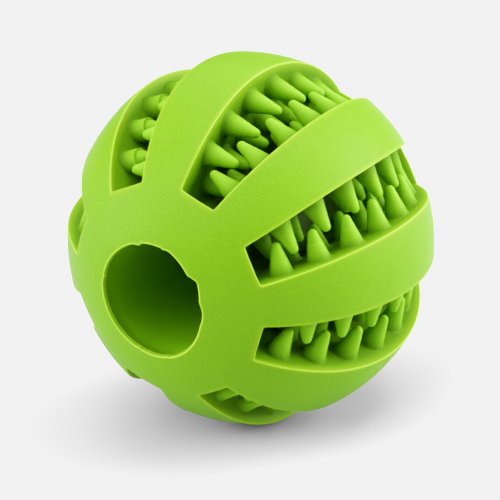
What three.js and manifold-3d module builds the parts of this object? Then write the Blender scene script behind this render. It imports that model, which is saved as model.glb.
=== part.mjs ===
// Treat-dispensing chew ball: a moulded rubber ball with a bore for treats through its middle and
// eight lens-shaped slots around it, whose walls carry rows of cone-shaped cleaning teeth.
// Millimetres, +Z up. The origin is the centre of the ball and the bore runs along Y, front mouth at -Y.

import * as THREE from 'three';
import { mergeGeometries, mergeVertices } from 'three/addons/utils/BufferGeometryUtils.js';
import Module from 'manifold-3d';

const wasm = await Module();
wasm.setup();
const { degToRad } = THREE.MathUtils;

// Driving dimensions: the ball
const BALL_DIAMETER = 70;
const RIB_COUNT = 8;
const SLOT_ANGLE = degToRad(22.5); // share of the turn that one slot takes
const CAP_HEIGHT = 7.2; // from the slots' end wall to where the dome would close

// Driving dimensions: the treat bore
const BORE_DIAMETER = 24;
const MOUTH_DIAMETER = 22.6;
const LIP_THICKNESS = 1.1; // the ring of rubber that narrows each mouth
const TUBE_WALL = 3;

// Driving dimensions: the toothed strips on the slot walls
const EDGE_LAND = 0.75; // rib material left between a strip and the surface of the ball
const STRIP_THICKNESS = 1.4;
const FIT_GAP = 0.3;

// Driving dimensions: the teeth
const TOOTH_PITCH = degToRad(14.4); // along a row, as an angle at the centre of the ball
const OUTER_BASE_DIAMETER = 4.7;
const INNER_BASE_DIAMETER = 4.2;
const TIP_DIAMETER = 1.7;
const OUTER_TOOTH_LENGTH = 6.5;
const INNER_TOOTH_LENGTH = 5.5;
const ROW_SPACING = 5.9; // from the outer row to the inner row, towards the centre
const BASE_MARGIN = 0.2; // strip left beside a tooth base at the strip's outer edge
const END_MARGIN = 3; // strip left between a tooth base and the slot's end wall
const FOOT_MARGIN = 0.5; // strip left between a tooth base and the floor of the slot

// Facets
const TURN_FACETS = 48;
const RIB_FACETS = 3;
const ARC_DIVISIONS = 8;
const CAP_DIVISIONS = 2;
const OUTER_TOOTH_SIDES = 7;
const INNER_TOOTH_SIDES = 6;

const RUBBER = { color: 0x8fd321, roughness: 0.62, metalness: 0 };

// Sizes that follow from the driving dimensions
const ballRadius = BALL_DIAMETER / 2;
const boreRadius = BORE_DIAMETER / 2;
const mouthRadius = MOUTH_DIAMETER / 2;
const slotEnd = ballRadius - CAP_HEIGHT;
const ribAngle = (2 * Math.PI) / RIB_COUNT - SLOT_ANGLE;
const tubeRadius = boreRadius + TUBE_WALL;
const footRadius = tubeRadius + FIT_GAP;
const pocketRadius = ballRadius - EDGE_LAND;
const stripRadius = pocketRadius - FIT_GAP;
const outerRowRadius = stripRadius - BASE_MARGIN - OUTER_BASE_DIAMETER / 2;
const innerRowRadius = outerRowRadius - ROW_SPACING;

// Keeps positions only, joins shared corners and drops triangles that have collapsed.
function weld(geometry) {
  geometry.deleteAttribute('normal');
  geometry.deleteAttribute('uv');
  const welded = mergeVertices(geometry);
  const corners = welded.index.array;
  const kept = [];
  for (let i = 0; i < corners.length; i += 3) {
    const [a, b, c] = corners.subarray(i, i + 3);
    if (a !== b && b !== c && c !== a) kept.push(a, b, c);
  }
  welded.setIndex(kept);
  return welded;
}

function toSolid(geometry) {
  const welded = weld(geometry);
  const vertProperties = new Float32Array(welded.attributes.position.array);
  const triVerts = new Uint32Array(welded.index.array);
  return new wasm.Manifold(new wasm.Mesh({ numProp: 3, vertProperties, triVerts }));
}

function toGeometry(solid) {
  const mesh = solid.getMesh();
  const geometry = new THREE.BufferGeometry();
  geometry.setAttribute('position', new THREE.BufferAttribute(mesh.vertProperties, 3));
  geometry.setIndex(new THREE.BufferAttribute(mesh.triVerts, 1));
  return geometry;
}

function turnedInsideOut(geometry) {
  geometry.setIndex(Array.from(geometry.index.array).reverse());
  return geometry;
}

// A closed profile (radius, y) swept around the bore by an angle centred on +Z, with flat ends.
function sector(profile, angle, facets) {
  const side = new THREE.LatheGeometry(profile, facets, -angle / 2, angle);
  const start = new THREE.ShapeGeometry(new THREE.Shape(profile)).rotateY(-angle / 2 - Math.PI / 2);
  const end = turnedInsideOut(new THREE.ShapeGeometry(new THREE.Shape(profile)));
  end.rotateY(angle / 2 - Math.PI / 2);
  return mergeGeometries([side, start, end]);
}

// A domed end of the ball, from the slots' end wall to the mouth of the bore. side is 1 or -1 along Y.
function capGeometry(side) {
  const lipFloor = Math.sqrt(ballRadius ** 2 - mouthRadius ** 2) - LIP_THICKNESS;
  const path = new THREE.Path();
  path.absarc(0, 0, ballRadius, Math.asin(slotEnd / ballRadius), Math.acos(mouthRadius / ballRadius));
  path.lineTo(mouthRadius, lipFloor);
  path.lineTo(boreRadius, lipFloor);
  path.lineTo(boreRadius, slotEnd);
  path.closePath();
  const profile = path.getPoints(CAP_DIVISIONS).map((p) => new THREE.Vector2(p.x, p.y * side));
  if (side < 0) profile.reverse();
  return weld(new THREE.LatheGeometry(profile, TURN_FACETS, ribAngle / 2));
}

// The wall of the bore, which is also the floor of the slots.
function tubeGeometry() {
  const path = new THREE.Path();
  path.moveTo(tubeRadius, -slotEnd);
  path.lineTo(tubeRadius, slotEnd);
  path.lineTo(boreRadius, slotEnd);
  path.lineTo(boreRadius, -slotEnd);
  path.closePath();
  return weld(new THREE.LatheGeometry(path.getPoints(), TURN_FACETS, ribAngle / 2));
}

// The outline of a slot wall in the wall's own plane: x away from the bore, y along it.
function wallOutline(arcRadius, foot, end) {
  const latitude = Math.asin(end / arcRadius);
  const outline = new THREE.Shape();
  outline.absarc(0, 0, arcRadius, -latitude, latitude);
  outline.lineTo(foot, end);
  outline.lineTo(foot, -end);
  outline.closePath();
  return outline;
}

// Turns a piece made in a slot wall's plane, teeth along +Z, into place on one side of the upper rib.
function ontoWall(geometry, side) {
  if (side > 0) geometry.rotateX(Math.PI);
  return geometry.rotateY((side * ribAngle) / 2 - Math.PI / 2);
}

// The recess that a strip lies in, open towards the slot, the floor and both ends.
function pocketGeometry(side) {
  const outline = wallOutline(pocketRadius, footRadius - FIT_GAP, slotEnd + FIT_GAP);
  const depth = STRIP_THICKNESS + FIT_GAP;
  const pocket = new THREE.ExtrudeGeometry(outline, {
    depth: depth + FIT_GAP,
    bevelEnabled: false,
    curveSegments: ARC_DIVISIONS,
  });
  return ontoWall(pocket.translate(0, 0, -depth), side);
}

// A rib: a slice of the ball between two slots, T-shaped in section, with a recess in each side.
function ribGeometry() {
  const profile = wallOutline(ballRadius, footRadius, slotEnd).getPoints(ARC_DIVISIONS);
  const slice = toSolid(sector(profile, ribAngle, RIB_FACETS));
  return toGeometry(slice.subtract(toSolid(pocketGeometry(-1))).subtract(toSolid(pocketGeometry(1))));
}

// A cone with a rounded tip that stands up along +Z from inside its strip.
function toothGeometry(baseDiameter, length, sides) {
  const tipRadius = TIP_DIAMETER / 2;
  const root = STRIP_THICKNESS / 2;
  const profile = [
    new THREE.Vector2(0, -root),
    new THREE.Vector2(baseDiameter / 2, -root),
    new THREE.Vector2(baseDiameter / 2, 0),
    new THREE.Vector2(tipRadius, length - tipRadius),
    new THREE.Vector2(tipRadius * Math.cos(Math.PI / 4), length - tipRadius * (1 - Math.sin(Math.PI / 4))),
    new THREE.Vector2(0, length),
  ];
  return new THREE.LatheGeometry(profile, sides).rotateX(Math.PI / 2);
}

// Places of the teeth of a row, as angles from the equator: offset 0 puts a tooth on it, 0.5 beside it.
function rowAngles(rowRadius, baseDiameter, offset) {
  const reach = baseDiameter / 2;
  const fits = (angle) =>
    rowRadius * Math.sin(angle) + reach <= slotEnd - END_MARGIN &&
    rowRadius * Math.cos(angle) - reach >= footRadius + FOOT_MARGIN;
  const angles = [];
  for (let angle = offset * TOOTH_PITCH; angle < Math.PI / 2 && fits(angle); angle += TOOTH_PITCH) {
    angles.push(angle);
    if (angle > 0) angles.push(-angle);
  }
  return angles;
}

// One slot wall: a thin plate with an outer and an inner row of teeth, half a pitch apart.
function stripGeometry(side) {
  const outerOffset = side < 0 ? 0 : 0.5;
  const rows = [
    { radius: outerRowRadius, base: OUTER_BASE_DIAMETER, length: OUTER_TOOTH_LENGTH, sides: OUTER_TOOTH_SIDES,
      offset: outerOffset },
    { radius: innerRowRadius, base: INNER_BASE_DIAMETER, length: INNER_TOOTH_LENGTH, sides: INNER_TOOTH_SIDES,
      offset: 0.5 - outerOffset },
  ];
  const plate = new THREE.ExtrudeGeometry(wallOutline(stripRadius, footRadius, slotEnd), {
    depth: STRIP_THICKNESS,
    bevelEnabled: false,
    curveSegments: ARC_DIVISIONS,
  });
  let strip = toSolid(plate.translate(0, 0, -STRIP_THICKNESS));
  for (const { radius, base, length, sides, offset } of rows) {
    for (const angle of rowAngles(radius, base, offset)) {
      const tooth = toothGeometry(base, length, sides);
      tooth.translate(radius * Math.cos(angle), radius * Math.sin(angle), 0);
      strip = strip.add(toSolid(tooth));
    }
  }
  return ontoWall(toGeometry(strip), side);
}

function rubberMesh(name, geometry) {
  const mesh = new THREE.Mesh(geometry, new THREE.MeshStandardMaterial(RUBBER));
  mesh.name = name;
  return mesh;
}

const ball = new THREE.Group();
ball.add(rubberMesh('front_cap', capGeometry(-1)));
ball.add(rubberMesh('rear_cap', capGeometry(1)));
ball.add(rubberMesh('treat_tube', tubeGeometry()));

// The ribs are numbered clockwise from the top, as seen from the front mouth.
const rib = ribGeometry();
const leftStrip = stripGeometry(-1);
const rightStrip = stripGeometry(1);
for (let i = 0; i < RIB_COUNT; i += 1) {
  const group = new THREE.Group();
  group.rotation.y = (2 * Math.PI * i) / RIB_COUNT;
  group.add(rubberMesh(`rib_${i + 1}`, rib));
  group.add(rubberMesh(`tooth_strip_${i + 1}_left`, leftStrip));
  group.add(rubberMesh(`tooth_strip_${i + 1}_right`, rightStrip));
  ball.add(group);
}

export default ball;
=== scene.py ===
"""Looks of the chew ball: a seamless rubber skin with toothed slots, on a pale floor under soft light."""

import math
import random

import bmesh
import bpy
import numpy as np
from mathutils import Matrix, Vector, noise


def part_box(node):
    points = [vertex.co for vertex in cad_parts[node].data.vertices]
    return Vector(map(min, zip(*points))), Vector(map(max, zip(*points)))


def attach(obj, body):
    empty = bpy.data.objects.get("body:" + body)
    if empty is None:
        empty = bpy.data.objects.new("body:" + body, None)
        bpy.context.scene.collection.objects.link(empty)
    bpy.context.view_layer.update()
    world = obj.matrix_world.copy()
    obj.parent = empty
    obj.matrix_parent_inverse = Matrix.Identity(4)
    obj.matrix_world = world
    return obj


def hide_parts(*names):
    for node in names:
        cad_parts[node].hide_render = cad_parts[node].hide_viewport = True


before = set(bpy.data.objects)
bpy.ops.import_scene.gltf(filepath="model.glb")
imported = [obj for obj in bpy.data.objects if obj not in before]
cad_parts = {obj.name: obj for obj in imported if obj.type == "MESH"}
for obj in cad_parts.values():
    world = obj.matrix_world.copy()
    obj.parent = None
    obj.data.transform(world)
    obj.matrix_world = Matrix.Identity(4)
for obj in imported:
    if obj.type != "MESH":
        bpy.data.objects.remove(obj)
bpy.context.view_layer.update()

MM = 0.001


def radii(node):
    """Distances of a node's corners from the axis of the bore."""
    return [math.hypot(v.co.x, v.co.z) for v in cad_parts[node].data.vertices]


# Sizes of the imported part. A cell is one slot with half a rib on each side.
BALL_RADIUS = max(v.co.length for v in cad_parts["rib_1"].data.vertices)
SLOT_END = -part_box("front_cap")[1].y
TUBE_RADIUS = max(radii("treat_tube"))
BORE_RADIUS = min(radii("treat_tube"))
MOUTH_RADIUS = min(radii("front_cap"))
RIB_COUNT = 8
CELL_HALF = math.pi / RIB_COUNT
SLOT_HALF = CELL_HALF / 2
SIDE_WORDS = {-1: "left", 1: "right"}
LIP_THICKNESS = 1.1 * MM

# Edges and corners of the slots and the mouths
EDGE_ROUND = 0.26 * MM
CORNER_RADIUS = 0.3 * MM
FLOOR_FILLET = 1.2 * MM
RIM_ROUND = 0.26 * MM
MOUTH_ROUND = 0.15 * MM
LIP_INSET = 0.35 * MM  # how far the lip of a mouth leans in
LIP_HEIGHT = 0.6 * MM
MOUTH_FLARE = 0.1 * MM  # how far a mouth's rim lies outside its drawn place
END_BOW = 0.2 * MM  # how far the ends of the slots bow out
END_DRAW = 0.24  # the share of its length that a slot loses towards its floor
PAINTED_GLOW_EDGE = 0.45  # how much of an edge's painted light its borders show: the full painted glow, and none of the painted highlight
BORDER_EDGE = 0.35  # and the surface beside them
SLOT_EDGE = 0.8  # how much of it the edges of the slots show, next to the rim of a mouth
LIP_PLAIN = (0.4, 0.6)  # the part of a lip, from its rim to its inner edge, that has no painted edge light
MOUTH_RIM = 12.3 * MM  # where the untrimmed surface of a cap ends
MOUTH_ALONG = math.sqrt(BALL_RADIUS ** 2 - MOUTH_RADIUS ** 2)
LIP_ALONG = MOUTH_ALONG - LIP_THICKNESS  # where the wall of the bore begins
BORE_NARROWING = 3  # the power with which the bore narrows towards its mouths

# Rubber that the trimming knife left in the mouth, or took out of it where the height is negative: the
# angle around the bore where it starts, peaks and ends, and how far it stands in
TRIM = (
    (14, 17, 19, 0.18 * MM),
    (24, 53, 63, 0.9 * MM),
    (64, 83, 106, 0.8 * MM),
    (95, 109, 165, 0.6 * MM),
    (170, 172, 174, 0.22 * MM),
    (201, 203, 206, 0.2 * MM),
    (215, 275, 325, -0.25 * MM),
    (283, 285, 287, 0.25 * MM),
    (315, 370, 420, 0.26 * MM),
    (340, 348, 352, 0.4 * MM),
)
REAR_TRIM_TURN = 140  # the rear mouth has the same cuts, turned on

# Teeth: the outer and inner row of a slot wall, half a pitch apart
TOOTH_PITCH = math.radians(14.4)
HALF_PITCH = 0.5
ROWS = {
    "outer": {"radius": 30.7 * MM, "base": 4.7 * MM, "length": 6.5 * MM},
    "inner": {"radius": 25.0 * MM, "base": 4.2 * MM, "length": 5.5 * MM},
}
# Walls whose rows lie nearer the front, by rib and side
ROW_SHIFT = {
    (1, -1): math.radians(-1.9),
    (2, 1): math.radians(-2.5),
    (3, -1): math.radians(-1.1),
    (8, 1): math.radians(-2.4),
}
TIP_RADIUS = 0.95 * MM
BASE_FILLET = 0.45 * MM
TOOTH_ROOT = 0.3 * MM
END_MARGIN = 3.0 * MM
FOOT_MARGIN = 0.8 * MM
LEDGE_SHARE = 0.56  # how far up a tooth the two halves of the mould meet
LEDGE_HEIGHT = 0.12 * MM
LEDGE_RINGS = (0, 0.1, 0.9, 1)  # the rings across that step, near its corners to keep them crisp

# How the teeth differ from each other: their length next to the drawn one, the step where the halves of the
# mould meet, in millimetres, and how far they lean
TOOTH_SEED = 5
LENGTH_RANGE = (0.97, 1.03)
STEP_RANGE = (0.02, 0.14)
LEAN = 0.03

# One wall was moulded with stout teeth that have a plain step: its rib and side, how far the teeth lean
# towards the bore, and half their widths
STOUT_WALL = (8, 1)
STOUT_LEAN = 0.2
STOUT_BASE = 2.3 * MM
STOUT_LEDGE = 2.15 * MM
STOUT_NECK = 1.65 * MM
STOUT_PAINTED_SHADE = 0.85  # painted shade: how much darker their colour is painted next to the others

# How the edges of the ribs stray from their drawn places, by rib and side: how far they turn, in degrees,
# and how far they stand out, in millimetres, each at the front end of the slot, the equator and the rear
# end. The others keep their places.
NO_STRAY = ((0, 0, 0), (0, 0, 0))
EDGE_STRAY = {
    (1, -1): ((-0.3, -0.7, 4.0), (0, 0.75, 0.5)),
    (1, 1): ((1.8, -1.2, 1.8), (0, 0.1, 0)),
    (2, -1): ((-0.2, 1.3, -0.2), (0, -0.2, -0.4)),
    (2, 1): ((1.7, 0.8, 1.7), (0, -0.2, -0.4)),
    (3, -1): ((0.4, -0.8, 0.4), (0, 0.1, 0.35)),
    (3, 1): ((0.2, -1.7, 0.2), (0, 0.2, 0.9)),
    (4, -1): ((-1.8, -0.6, -1.8), (0.1, 0.4, 1.6)),
    (4, 1): ((1.3, 2.2, 1.3), (0, 0.2, 0)),
    (5, -1): ((-1.5, -1.0, 0), (0, 0.6, 0)),
    (6, -1): ((0, 0, 0), (0, -0.3, 0)),
    (6, 1): ((4.0, 3.0, 0), (-1.15, -0.9, -0.3)),
    (8, -1): ((0, 0, 0), (0, -0.25, 0)),
    (8, 1): ((1.1, 1.4, 1.1), (0, 0.2, 0)),
}
SIDE_DRAW = 0.988  # the soft ball is a little narrower than it is tall
WOBBLE = 0.16 * MM
WOBBLE_LENGTH = 19 * MM
WOBBLE_SEED = 5

# Mesh steps
LONG_STEPS = 56
CORNER_STEPS = 6
END_STEPS = 48
SURFACE_STEPS = 12
SURFACE_CROWDING = 1.3  # the power that crowds the rings of the surface towards the edge of the slot
EDGE_STEPS = 4
WALL_STEPS = 9
FLOOR_STEPS = 4
MOUTH_STEPS = 4
BORE_STEPS = 24
TOOTH_SIDES = 24
TIP_STEPS = 6
WELD = 0.002 * MM  # points nearer to each other than this become one

# The photograph's view: ball and camera
AZIMUTH = math.radians(35.0)
ELEVATION = math.radians(21.8)
ROLL = math.radians(-4.8)
DISTANCE = 30 * BALL_RADIUS
SILHOUETTE_PX = 184.8
CENTRE_PX = (250.0, 238.2)
FRAME_PX = 500
SENSOR = 36.0
VIEW_REACH = 100  # how far the camera sees

# The photograph's tones: contrast, the light that comes out half as bright as the curve's top, that top,
# and the tone at which the backdrop burns out
CONTRAST = 1.221
HALF_LIGHT = 0.242
CURVE_TOP = 1.539
BACKDROP_TONE = 0.885
GREY_BELOW = 0.36  # colours less saturated than this are bounced light on the backdrop and turn grey
KEEP_ABOVE = 0.5
FADE = 0.052  # how much of its saturation a colour as bright as the half light loses

# Colours of the rubber; the last two are painted light along its edges, a glow and a highlight
RUBBER_DEEP = (0.115, 0.282, 0.001, 1)
RUBBER = (0.126, 0.304, 0.002, 1)
RUBBER_PALE = (0.157, 0.38, 0.004, 1)
RUBBER_PAINTED_GLOW = (0.175, 0.345, 0.001, 1)
RUBBER_PAINTED_HIGHLIGHT = (0.3, 0.56, 0.02, 1)

# Painted shading in the rubber's colour: painted shade at the foot of a slot's wall, painted shade at a
# tooth's foot and painted light towards its tip, and painted light in the bore
FOOT_PAINTED_SHADE = 0.4
END_PAINTED_SHADE = 0.95  # the same at the slot's ends
END_REACH = 4  # the power with which the one passes into the other
FOOT_REACH = 0.33  # the power with which that shade grows down the wall
TOOTH_PAINTED_SHADING = (0.7, 1.32, 1.38)
TOOTH_PAINTED_SHADING_AT = (0, 0.4, 1)  # where on a tooth these three lie, from its foot to its tip
BORE_PAINTED_LIGHT = 1.12

# Noise in the rubber's colour: scale and detail, and the span of its values that is used
BLOTCH_NOISE = (70, 3)
BLOTCH_SPAN = (0.3, 0.7)
GRAIN_NOISE = (2600, 2)
GRAIN_SPAN = (0.35, 0.65)
GRAIN_SHARE = 0.42  # how much of the pale tone the grain's peaks show

# Where the mould's grain begins: the teeth, the bore and the slots are smooth
SMOOTH_RADIUS = 33.9 * MM
GRAIN_RADIUS = 34.5 * MM

# Surface of the rubber
GRAIN_STRENGTH = 0.8
GRAIN_DEPTH = 0.03 * MM
SMOOTH_ROUGHNESS = 0.55
GRAIN_ROUGHNESS = 0.44
GLOSS = 0.08
SUBSURFACE_WEIGHT = 0.15
SUBSURFACE_RADIUS = (0.9, 1.0, 0.15)
SUBSURFACE_SCALE = 1.2 * MM

# The floor
FLOOR_SIZE = 4.0
FLOOR_CELLS = 8
FLOOR_NOISE = (3, 2)
FLOOR_DARK = (0.585, 0.585, 0.585, 1)
FLOOR_PALE = (0.6, 0.6, 0.6, 1)
FLOOR_ROUGHNESS = 0.9

# Light: the glow of the tent, and each softbox's azimuth from the camera, elevation and power
WHITE = (1, 1, 1, 1)
TENT_GLOW = 0.003
SOFTBOX_SIZE = 1.6
SOFTBOX_DISTANCE = 2.0
SOFTBOXES = {
    "top": (90, 82, 13.0),
    "key": (-38, 50, 10.0),
    "left_mid": (-80, 30, 3.2),
    "left_low": (-92, 9, 13.0),
    "right_front": (65, 25, 2.0),
    "right_low": (95, 14, 26.0),
    "right_high": (95, 57, 1.0),
    "back_high": (180, 45, 3.0),
}


def place(angle, along, radius):
    """Points at an angle around the bore from +Z, a distance along it and a distance from its axis."""
    angle, along, radius = np.broadcast_arrays(angle, along, radius)
    return np.stack([radius * np.sin(angle), along, radius * np.cos(angle)], axis=-1)


def on_ball(angle, latitude):
    return place(angle, BALL_RADIUS * np.sin(latitude), BALL_RADIUS * np.cos(latitude))


def rounded(start, corner, end):
    """Rings that round the corner between two rings, both left out."""
    return [
        (1 - t) ** 2 * start + 2 * t * (1 - t) * corner + t ** 2 * end
        for t in np.linspace(0, 1, EDGE_STEPS + 1)[1:-1]
    ]


def strayed(points):
    """The points where the soft rubber really lies, each a little off its drawn place."""
    x, along, z = np.array(points).T
    angle, radius = np.arctan2(x, z), np.hypot(x, z)
    sides = [(rib, side) for rib in range(1, RIB_COUNT + 1) for side in SIDE_WORDS]
    edges = [2 * CELL_HALF * (rib - 1) + side * SLOT_HALF for rib, side in sides]
    turns, outs = np.array([EDGE_STRAY.get(key, NO_STRAY) for key in sides]).transpose(1, 2, 0)
    share = np.clip(along / SLOT_END, -1, 1)
    off_mouth = np.clip((MOUTH_ALONG - np.abs(along)) / (MOUTH_ALONG - SLOT_END), 0, 1)
    off_bore = np.clip((radius - BORE_RADIUS) / (BALL_RADIUS - BORE_RADIUS), 0, 1)
    shares = (share * (share - 1) / 2 * off_mouth, 1 - share ** 2, share * (share + 1) / 2 * off_mouth)

    def between(values):
        return sum(s * np.interp(angle, edges, row, period=2 * math.pi) for s, row in zip(shares, values))

    moved = place(angle + np.radians(between(turns)), along, radius + between(outs) * MM * off_bore)
    moved *= (SIDE_DRAW, SIDE_DRAW, 1)
    return [Vector(p) + WOBBLE * noise.noise_vector(Vector(p) / WOBBLE_LENGTH) for p in moved]


class Skin:
    """Collects rings of points and the faces between them."""

    def __init__(self):
        self.points = []
        self.values = {"edge": [], "painted_shading": []}
        self.faces = []

    def ring(self, points, edge=0.0, painted_shading=1.0):
        """Adds a ring with its painted edge light and its painted shading, and returns the numbers of its
        points.
        """
        first = len(self.points)
        self.points.extend(tuple(p) for p in points)
        self.values["edge"].extend([edge] * len(points))
        self.values["painted_shading"].extend(np.broadcast_to(painted_shading, len(points)))
        return list(range(first, first + len(points)))

    def bands(self, rings):
        """Adds the faces between each ring and the next."""
        for a, b in zip(rings, rings[1:]):
            for i, j in zip(range(-1, len(a) - 1), range(len(a))):
                self.faces.append((a[i], a[j], b[j], b[i]))

    def finish(self, name):
        """The welded mesh with outward faces, and its painted edge light and painted shading values as
        attributes.
        """
        mesh = bpy.data.meshes.new(name)
        mesh.from_pydata(strayed(self.points), [], self.faces)
        for key, values in self.values.items():
            mesh.attributes.new(key, "FLOAT", "POINT").data.foreach_set("value", values)
        bm = bmesh.new()
        bm.from_mesh(mesh)
        bmesh.ops.remove_doubles(bm, verts=bm.verts, dist=WELD)
        bmesh.ops.recalc_face_normals(bm, faces=bm.faces)
        bm.to_mesh(mesh)
        bm.free()
        mesh.polygons.foreach_set("use_smooth", [True] * len(mesh.polygons))
        return mesh


def slot_outline():
    """Half of a slot's outline, from one long side round the rear end, with the rest as its negative.

    Each row is a point's angle and distance along the bore, its outward direction, and the angle and
    latitude of the point on the rim of the slot's cell that it runs out to."""
    end_radius = math.sqrt(BALL_RADIUS ** 2 - SLOT_END ** 2)
    straight = SLOT_END - CORNER_RADIUS
    inset = SLOT_HALF - CORNER_RADIUS / end_radius
    low, high = math.asin(straight / BALL_RADIUS), math.acos(MOUTH_RIM / BALL_RADIUS)

    def corner_row(t, side):
        c, s = math.cos(t * math.pi / 2), math.sin(t * math.pi / 2)
        return (side * (inset + (SLOT_HALF - inset) * c), straight + CORNER_RADIUS * s, side * c, s,
                side * CELL_HALF, low + (high - low) * t)

    rows = []
    for along in np.linspace(-straight, straight, LONG_STEPS + 1):
        rows.append((SLOT_HALF, along, 1, 0, CELL_HALF, math.asin(along / BALL_RADIUS)))
    rows += [corner_row(t, 1) for t in np.linspace(0, 1, CORNER_STEPS + 1)[1:-1]]
    for t in np.linspace(1, -1, END_STEPS + 1):
        rows.append((inset * t, SLOT_END + END_BOW * (1 - t * t), 0, 1, CELL_HALF * t, high))
    rows += [corner_row(t, -1) for t in np.linspace(1, 0, CORNER_STEPS + 1)[1:-1]]
    return np.array(rows)


def painted_foot_shade(along):
    """The painted shade at the foot of a slot's wall, at distances along the bore: darkest in the middle,
    less so at the ends.
    """
    return FOOT_PAINTED_SHADE + (END_PAINTED_SHADE - FOOT_PAINTED_SHADE) * np.abs(along / SLOT_END) ** END_REACH


def add_slot(skin, middle, outline):
    """One slot with its share of the ball's surface: half a rib on each side and a part of both caps."""
    angle, along, out_angle, out_along, rim_angle, rim_latitude = np.concatenate([outline, -outline]).T
    surface_radius = np.sqrt(BALL_RADIUS ** 2 - along ** 2)
    edge_angle = angle + out_angle * EDGE_ROUND / surface_radius
    edge_latitude = np.arcsin((along + out_along * EDGE_ROUND * surface_radius / BALL_RADIUS) / BALL_RADIUS)

    def wall(share):
        radius = surface_radius + (TUBE_RADIUS - surface_radius) * share
        return place(middle + angle, along * (1 - END_DRAW * share), radius)

    rings = []
    # painted light along the slot's edge: a glow on the surface beside it and a painted highlight on its
    # rounding
    steps = np.linspace(1, 0, SURFACE_STEPS + 1)[:-1] ** SURFACE_CROWDING
    for t in steps:
        turned = middle + edge_angle + (rim_angle - edge_angle) * t
        points = on_ball(turned, edge_latitude + (rim_latitude - edge_latitude) * t)
        rings.append(skin.ring(points, edge=BORDER_EDGE if t == steps[-1] else 0))
    lip = on_ball(middle + edge_angle, edge_latitude)
    rings.append(skin.ring(lip, edge=PAINTED_GLOW_EDGE))
    brow_share = EDGE_ROUND / (surface_radius - TUBE_RADIUS)
    brow = wall(brow_share)
    rings += [skin.ring(points, edge=SLOT_EDGE) for points in rounded(lip, wall(0), brow)]
    rings.append(skin.ring(brow, edge=PAINTED_GLOW_EDGE))
    fillet_share = 1 - FLOOR_FILLET / (surface_radius - TUBE_RADIUS)
    # painted shade: the wall's colour darkens towards its foot and the slot's floor
    foot = painted_foot_shade(along)
    for t in np.linspace(0, 1, WALL_STEPS + 1)[1:]:
        points = wall(brow_share + (fillet_share - brow_share) * t)
        rings.append(skin.ring(points, painted_shading=1 + (foot - 1) * t ** FOOT_REACH))
    floor_angle = middle + angle - out_angle * FLOOR_FILLET / TUBE_RADIUS
    floor = place(floor_angle, along * (1 - END_DRAW) - out_along * FLOOR_FILLET, TUBE_RADIUS)
    rings += [skin.ring(points, painted_shading=foot) for points in rounded(wall(fillet_share), wall(1), floor)]
    rings.append(skin.ring(floor, painted_shading=foot))
    skin.bands(rings)
    add_floor(skin, rings[-1])


def add_floor(skin, ring):
    """Fills the floor of a slot inside its last ring: rows across it, and a face at each end."""
    half = len(ring) // 2
    right = ring[:LONG_STEPS + 1]
    left = ring[half:half + LONG_STEPS + 1][::-1]
    rows = []
    for a, b in zip(right, left):
        start, end = skin.points[a], skin.points[b]
        first, last = (math.atan2(p[0], p[2]) for p in (start, end))
        last = first + (last - first + math.pi) % (2 * math.pi) - math.pi
        inner = np.linspace(first, last, FLOOR_STEPS + 1)[1:-1]
        # painted shade on the floor of the slot
        row = skin.ring(place(inner, start[1], TUBE_RADIUS), painted_shading=painted_foot_shade(start[1]))
        rows.append([a, *row, b])
    for a, b in zip(rows, rows[1:]):
        for i in range(FLOOR_STEPS):
            skin.faces.append((a[i], a[i + 1], b[i + 1], b[i]))
    skin.faces.append((*rows[-1][1:-1][::-1], *ring[LONG_STEPS:half + 1]))
    skin.faces.append((*rows[0][1:-1], *ring[half + LONG_STEPS:], ring[0]))


def trim(angle):
    """How far the rim of a mouth stands in at angles around the bore, in degrees."""
    inset = np.zeros_like(angle)
    for start, peak, end, height in TRIM:
        inset += np.interp((angle - start) % 360, (0, peak - start, end - start), (0, height, 0))
    return inset


def mouth_rings(skin, angle, side):
    """One mouth, from the cap's surface over the trimmed rim and its lip to where the bore begins."""
    degrees = np.degrees(angle) + (0 if side < 0 else REAR_TRIM_TURN)
    rim = MOUTH_RADIUS + MOUTH_FLARE - trim(degrees)

    def on_surface(radius):
        return place(angle, side * np.sqrt(BALL_RADIUS ** 2 - radius ** 2), radius)

    outer = on_surface(rim)
    inner = place(angle, outer[:, 1] - side * LIP_HEIGHT, rim - LIP_INSET)
    behind = inner + place(angle, -side * 2 * MOUTH_ROUND, MOUTH_ROUND)
    slope = (inner - outer) * MOUTH_ROUND / LIP_HEIGHT
    # painted edge light: a painted highlight on the rounded rim and on the lip's inner edge
    corners = (
        (on_surface(rim + RIM_ROUND), outer, outer + slope, 1.0),
        (inner - slope, inner, behind, SLOT_EDGE),
    )
    rings = []
    for t in np.linspace(0, 1, MOUTH_STEPS + 1)[:-1]:
        rings.append(skin.ring(on_surface(MOUTH_RIM + (rim + RIM_ROUND - MOUTH_RIM) * t)))
    for start, corner, end, edge in corners:
        rings.append(skin.ring(start, edge=edge * PAINTED_GLOW_EDGE))
        rings += [skin.ring(points, edge=edge) for points in rounded(start, corner, end)]
        rings.append(skin.ring(end, edge=edge * PAINTED_GLOW_EDGE))
        if corner is outer:
            rings += [skin.ring(outer + (inner - outer) * t) for t in LIP_PLAIN]
    return rings


def add_bore(skin):
    """Both mouths with their lips, and the wall of the bore, which widens from them to its middle."""
    angle = np.arange(RIB_COUNT * END_STEPS) * 2 * math.pi / (RIB_COUNT * END_STEPS)
    middle = []
    for t in np.linspace(-1, 1, BORE_STEPS + 1):
        radius = BORE_RADIUS - (BORE_RADIUS - MOUTH_RADIUS - MOUTH_ROUND) * abs(t) ** BORE_NARROWING
        # painted light: the wall of the bore is coloured lighter
        middle.append(skin.ring(place(angle, t * LIP_ALONG, radius), painted_shading=BORE_PAINTED_LIGHT))
    skin.bands(mouth_rings(skin, angle, -1) + middle + mouth_rings(skin, angle, 1)[::-1])


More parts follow.
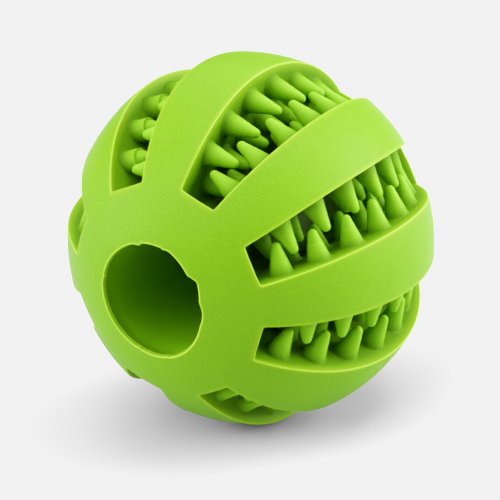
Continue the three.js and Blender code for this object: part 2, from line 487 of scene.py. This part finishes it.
def make_body():
    skin = Skin()
    outline = slot_outline()
    for i in range(RIB_COUNT):
        add_slot(skin, (2 * i + 1) * CELL_HALF, outline)
    add_bore(skin)
    return bpy.data.objects.new("ball_body", skin.finish("ball_body"))


def tooth_profile(base, ledge, neck, length):
    """Radius and height of a tooth's side, from its root in the wall over the mould's step to its tip."""
    ledge_at = LEDGE_SHARE * length
    foot = base - (base - ledge) * BASE_FILLET / ledge_at
    profile = [(base + BASE_FILLET, -TOOTH_ROOT)]
    for t in np.linspace(0, 1, EDGE_STEPS + 1):
        profile.append((foot + (base + BASE_FILLET - foot) * (1 - t) ** 2, BASE_FILLET * t * t))
    profile.append(((foot + ledge) / 2, (BASE_FILLET + ledge_at) / 2))
    profile.append((ledge, ledge_at - LEDGE_HEIGHT))
    for t in LEDGE_RINGS:
        profile.append((ledge + (neck - ledge) * t, ledge_at + LEDGE_HEIGHT * t))
    profile.append((neck, ledge_at + 2 * LEDGE_HEIGHT))
    slope = math.atan2(neck - TIP_RADIUS, length - TIP_RADIUS - ledge_at)
    for t in np.linspace(slope, math.pi / 2, TIP_STEPS + 1):
        profile.append((TIP_RADIUS * math.cos(t), length - TIP_RADIUS + TIP_RADIUS * math.sin(t)))
    return profile


def drawn_profile(row, length, step):
    """A plain tooth: a cone with hardly any step."""
    base = row["base"] / 2
    halfway = base + (TIP_RADIUS - base) * LEDGE_SHARE * length / (length - TIP_RADIUS)
    return tooth_profile(base, halfway + step / 2, halfway - step / 2, length)


def row_angles(row, offset):
    """Places of a row's teeth as angles from the equator, as far as they fit on the wall."""
    reach = row["base"] / 2
    angles = []
    angle = offset * TOOTH_PITCH
    while (row["radius"] * math.sin(angle) + reach <= SLOT_END - END_MARGIN
           and row["radius"] * math.cos(angle) - reach >= TUBE_RADIUS + FOOT_MARGIN):
        angles += [angle, -angle] if angle else [angle]
        angle += TOOTH_PITCH
    return sorted(angles)


def add_tooth(skin, profile, matrix, painted_shading_scale):
    """A closed tooth that stands along the matrix's Z. The last point of its profile is the tip."""
    turn = np.arange(TOOTH_SIDES) * 2 * math.pi / TOOTH_SIDES
    rings = []
    top = profile[-1][1]
    for radius, height in profile[:-1]:
        points = [matrix @ Vector((radius * math.cos(a), radius * math.sin(a), height)) for a in turn]
        # painted shade at the tooth's foot, painted light towards its tip
        painted_shading = np.interp(height / top, TOOTH_PAINTED_SHADING_AT, TOOTH_PAINTED_SHADING)
        rings.append(skin.ring(points, painted_shading=painted_shading_scale * painted_shading))
    skin.bands(rings)
    tip = skin.ring([matrix @ Vector((0, 0, top))], painted_shading=painted_shading_scale * TOOTH_PAINTED_SHADING[-1])[0]
    for i, j in zip(range(-1, TOOTH_SIDES - 1), range(TOOTH_SIDES)):
        skin.faces.append((rings[-1][i], rings[-1][j], tip))
    skin.faces.append(tuple(rings[0]))


def make_teeth(rib, side, chance):
    """The teeth on one side wall of a rib. side is -1 on its left and 1 on its right."""
    skin = Skin()
    turn = 2 * CELL_HALF * (rib - 1) + side * SLOT_HALF
    into_slot = Vector((math.cos(turn), 0, -math.sin(turn))) * side
    outward = Vector((math.sin(turn), 0, math.cos(turn)))
    outer_offset = 0 if side < 0 else HALF_PITCH
    stout = (rib, side) == STOUT_WALL
    for name, offset in (("outer", outer_offset), ("inner", HALF_PITCH - outer_offset)):
        row = ROWS[name]
        for angle in np.add(row_angles(row, offset), ROW_SHIFT.get((rib, side), 0)):
            length = row["length"] * chance.uniform(*LENGTH_RANGE)
            step = chance.uniform(*STEP_RANGE) * MM
            lean = Vector([chance.uniform(-1, 1) for _ in range(3)]) * LEAN
            if stout:
                profile = tooth_profile(STOUT_BASE, STOUT_LEDGE, STOUT_NECK, length)
                lean -= outward * STOUT_LEAN
            else:
                profile = drawn_profile(row, length, step)
            axis = (into_slot + lean).normalized()
            across = axis.cross(outward).normalized()
            matrix = Matrix((across, axis.cross(across), axis)).transposed().to_4x4()
            along = Vector((0, row["radius"] * math.sin(angle), 0))
            matrix.translation = outward * row["radius"] * math.cos(angle) + along
            # the stout teeth get painted shade, darker than the others
            add_tooth(skin, profile, matrix, STOUT_PAINTED_SHADE if stout else 1.0)
    name = f"teeth_{rib}_{SIDE_WORDS[side]}"
    return bpy.data.objects.new(name, skin.finish(name))


def new_material(name):
    material = bpy.data.materials.new(name)
    material.use_nodes = True
    return material, material.node_tree.nodes, material.node_tree.links


def noise_node(nodes, links, coords, scale, detail):
    node = nodes.new("ShaderNodeTexNoise")
    node.inputs["Scale"].default_value = scale
    node.inputs["Detail"].default_value = detail
    links.new(coords.outputs["Object"], node.inputs["Vector"])
    return node.outputs["Fac"]


def attribute_node(nodes, name):
    node = nodes.new("ShaderNodeAttribute")
    node.attribute_name = name
    return node.outputs["Fac"]


def mix_node(nodes, links, factor, first, second):
    """A colour mix of two colours or sockets."""
    node = nodes.new("ShaderNodeMix")
    node.data_type = "RGBA"
    links.new(factor, node.inputs["Factor"])
    for socket, value in ((node.inputs["A"], first), (node.inputs["B"], second)):
        if isinstance(value, tuple):
            socket.default_value = value
        else:
            links.new(value, socket)
    return node.outputs["Result"]


def set_range(node, span, new_span):
    """Has a range node turn one span of values, given as its two ends, into another."""
    for name, number in zip(("From Min", "From Max", "To Min", "To Max"), (*span, *new_span)):
        node.inputs[name].default_value = number


def range_node(nodes, links, value, span, new_span):
    node = nodes.new("ShaderNodeMapRange")
    links.new(value, node.inputs["Value"])
    set_range(node, span, new_span)
    return node.outputs["Result"]


def product_node(nodes, links, first, second):
    node = nodes.new("ShaderNodeMath")
    node.operation = "MULTIPLY"
    links.new(first, node.inputs[0])
    links.new(second, node.inputs[1])
    return node.outputs["Value"]


def rubber_colour(nodes, links, coords, grain, outside):
    """Lime with slow blotches and a paler grain on the outside, a painted glow and painted highlight along
    the edges, and painted shade and light over all of it.
    """
    blotch = noise_node(nodes, links, coords, *BLOTCH_NOISE)
    # the painted glow and painted highlight along the edges
    edge = attribute_node(nodes, "edge")
    blotch_share = range_node(nodes, links, blotch, BLOTCH_SPAN, (0, 1))
    colour = mix_node(nodes, links, blotch_share, RUBBER_DEEP, RUBBER)
    speckle = range_node(nodes, links, grain, GRAIN_SPAN, (0, GRAIN_SHARE))
    grain_share = product_node(nodes, links, speckle, outside)
    colour = mix_node(nodes, links, grain_share, colour, RUBBER_PALE)
    painted_glow_share = range_node(nodes, links, edge, (0, PAINTED_GLOW_EDGE), (0, 1))
    colour = mix_node(nodes, links, painted_glow_share, colour, RUBBER_PAINTED_GLOW)
    edge_share = range_node(nodes, links, edge, (PAINTED_GLOW_EDGE, 1), (0, 1))
    colour = mix_node(nodes, links, edge_share, colour, RUBBER_PAINTED_HIGHLIGHT)
    # painted shade and light: the colour is scaled by the painted shading attribute
    painted_shaded_colour = nodes.new("ShaderNodeVectorMath")
    painted_shaded_colour.operation = "SCALE"
    links.new(colour, painted_shaded_colour.inputs[0])
    links.new(attribute_node(nodes, "painted_shading"), painted_shaded_colour.inputs["Scale"])
    return painted_shaded_colour.outputs["Vector"]


def rubber_material():
    """Matte rubber with the mould's fine grain on the outside of the ball."""
    material, nodes, links = new_material("lime_rubber")
    shader = nodes["Principled BSDF"]
    coords = nodes.new("ShaderNodeTexCoord")
    grain = noise_node(nodes, links, coords, *GRAIN_NOISE)
    distance = nodes.new("ShaderNodeVectorMath")
    distance.operation = "LENGTH"
    links.new(coords.outputs["Object"], distance.inputs[0])
    outside = range_node(nodes, links, distance.outputs["Value"], (SMOOTH_RADIUS, GRAIN_RADIUS), (0, 1))
    links.new(rubber_colour(nodes, links, coords, grain, outside), shader.inputs["Base Color"])
    roughness = range_node(nodes, links, outside, (0, 1), (SMOOTH_ROUGHNESS, GRAIN_ROUGHNESS))
    links.new(roughness, shader.inputs["Roughness"])
    bump = nodes.new("ShaderNodeBump")
    bump.inputs["Distance"].default_value = GRAIN_DEPTH
    strength = range_node(nodes, links, outside, (0, 1), (0, GRAIN_STRENGTH))
    links.new(strength, bump.inputs["Strength"])
    links.new(grain, bump.inputs["Height"])
    links.new(bump.outputs["Normal"], shader.inputs["Normal"])
    shader.inputs["Specular IOR Level"].default_value = GLOSS
    shader.inputs["Subsurface Weight"].default_value = SUBSURFACE_WEIGHT
    shader.inputs["Subsurface Radius"].default_value = SUBSURFACE_RADIUS
    shader.inputs["Subsurface Scale"].default_value = SUBSURFACE_SCALE
    return material


def floor_material():
    material, nodes, links = new_material("pale_floor")
    shader = nodes["Principled BSDF"]
    coords = nodes.new("ShaderNodeTexCoord")
    cloud = noise_node(nodes, links, coords, *FLOOR_NOISE)
    links.new(mix_node(nodes, links, cloud, FLOOR_DARK, FLOOR_PALE), shader.inputs["Base Color"])
    shader.inputs["Roughness"].default_value = FLOOR_ROUGHNESS
    return material


def add_object(obj, material=None):
    bpy.context.scene.collection.objects.link(obj)
    if material:
        obj.data.materials.append(material)
    return obj


def make_floor():
    mesh = bpy.data.meshes.new("floor")
    bm = bmesh.new()
    bmesh.ops.create_grid(bm, x_segments=FLOOR_CELLS, y_segments=FLOOR_CELLS, size=FLOOR_SIZE)
    bm.to_mesh(mesh)
    bm.free()
    floor = add_object(bpy.data.objects.new("floor", mesh), floor_material())
    floor.location.z = -BALL_RADIUS


def softbox(name, azimuth, elevation, power):
    """A square soft light that looks at the ball. Its azimuth counts from the camera towards the right."""
    light = bpy.data.lights.new(name, "AREA")
    light.shape = "SQUARE"
    light.size = SOFTBOX_SIZE
    light.energy = power
    lamp = add_object(bpy.data.objects.new(name, light))
    turn = (Matrix.Rotation(AZIMUTH + math.radians(azimuth), 4, "Z")
            @ Matrix.Rotation(math.radians(90 - elevation), 4, "X"))
    lamp.matrix_world = turn @ Matrix.Translation((0, 0, SOFTBOX_DISTANCE))


def make_light():
    """A light tent: a faint, even glow and the softboxes."""
    world = bpy.data.worlds.new("tent")
    bpy.context.scene.world = world
    world.use_nodes = True
    background = world.node_tree.nodes["Background"]
    background.inputs["Color"].default_value = WHITE
    background.inputs["Strength"].default_value = TENT_GLOW
    for name, (azimuth, elevation, power) in SOFTBOXES.items():
        softbox(name, azimuth, elevation, power)


def grade_blend(tree, mode, image, other):
    """Blends an image of the grade with another one, or with a grey."""
    node = tree.nodes.new("CompositorNodeMixRGB")
    node.blend_type = mode
    tree.links.new(image, node.inputs[1])
    if isinstance(other, float):
        node.inputs[2].default_value = (other, other, other, 1)
    else:
        tree.links.new(other, node.inputs[2])
    return node.outputs["Image"]


def grade_maths(tree, operation, first, second):
    """Works out one channel of the grade from two numbers or sockets."""
    node = tree.nodes.new("CompositorNodeMath")
    node.operation = operation
    for socket, value in zip(node.inputs, (first, second)):
        if isinstance(value, float):
            socket.default_value = value
        else:
            tree.links.new(value, socket)
    return node.outputs["Value"]


def grade_colours(tree, image):
    """Turns the bounced light on the backdrop grey, and lets bright colours fade a little."""
    split = tree.nodes.new("CompositorNodeSeparateColor")
    joined = tree.nodes.new("CompositorNodeCombineColor")
    split.mode = joined.mode = "HSV"
    tree.links.new(image, split.inputs["Image"])
    hue, saturation, value = split.outputs[:3]
    keep = tree.nodes.new("CompositorNodeMapRange")
    keep.use_clamp = True
    set_range(keep, (GREY_BELOW, KEEP_ABOVE), (0, 1))
    tree.links.new(saturation, keep.inputs["Value"])
    square = grade_maths(tree, "MULTIPLY", value, value)
    loss = grade_maths(tree, "MULTIPLY", square, FADE / HALF_LIGHT ** 2)
    left = grade_maths(tree, "SUBTRACT", 1.0, loss)
    share = grade_maths(tree, "MULTIPLY", left, keep.outputs["Value"])
    faded = grade_maths(tree, "MULTIPLY", saturation, share)
    for socket, channel in zip(joined.inputs, (hue, faded, value)):
        tree.links.new(channel, socket)
    return joined.outputs["Image"]


def make_grade():
    """The photograph's tones: a grey backdrop, and a film-like curve that burns out to one pale tone."""
    scene = bpy.context.scene
    scene.view_settings.view_transform = "Standard"
    scene.use_nodes = True
    tree = scene.node_tree
    tree.nodes.clear()
    layers = tree.nodes.new("CompositorNodeRLayers")
    power = tree.nodes.new("CompositorNodeGamma")
    power.inputs["Gamma"].default_value = CONTRAST
    tree.links.new(grade_colours(tree, layers.outputs["Image"]), power.inputs["Image"])
    lifted = grade_blend(tree, "ADD", power.outputs["Image"], HALF_LIGHT ** CONTRAST)
    ratio = grade_blend(tree, "DIVIDE", power.outputs["Image"], lifted)
    curve = grade_blend(tree, "MULTIPLY", ratio, CURVE_TOP)
    composite = tree.nodes.new("CompositorNodeComposite")
    tree.links.new(grade_blend(tree, "DARKEN", curve, BACKDROP_TONE), composite.inputs["Image"])


def make_camera():
    camera = bpy.data.cameras.new("camera")
    camera.sensor_width = SENSOR
    spread = 1 / math.sqrt((DISTANCE / BALL_RADIUS) ** 2 - 1)
    camera.lens = SILHOUETTE_PX / spread / FRAME_PX * SENSOR
    camera.clip_end = VIEW_REACH
    rig = add_object(bpy.data.objects.new("camera", camera))
    turn = (Matrix.Rotation(AZIMUTH, 4, "Z") @ Matrix.Rotation(math.pi / 2 - ELEVATION, 4, "X")
            @ Matrix.Rotation(ROLL, 4, "Z"))
    pixel = BALL_RADIUS / SILHOUETTE_PX
    aside = (FRAME_PX / 2 - CENTRE_PX[0]) * pixel
    below = (CENTRE_PX[1] - FRAME_PX / 2) * pixel
    rig.matrix_world = turn @ Matrix.Translation((aside, below, DISTANCE))
    bpy.context.scene.camera = rig


make_grade()
make_camera()
make_light()
make_floor()
rubber = rubber_material()

noise.seed_set(WOBBLE_SEED)
body = add_object(make_body(), rubber)
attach(body, "root")
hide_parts("front_cap", "rear_cap", "treat_tube", *(f"rib_{i + 1}" for i in range(RIB_COUNT)))

chance = random.Random(TOOTH_SEED)
for rib in range(1, RIB_COUNT + 1):
    for side, word in SIDE_WORDS.items():
        teeth = add_object(make_teeth(rib, side, chance), rubber)
        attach(teeth, "root")
        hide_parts(f"tooth_strip_{rib}_{word}")
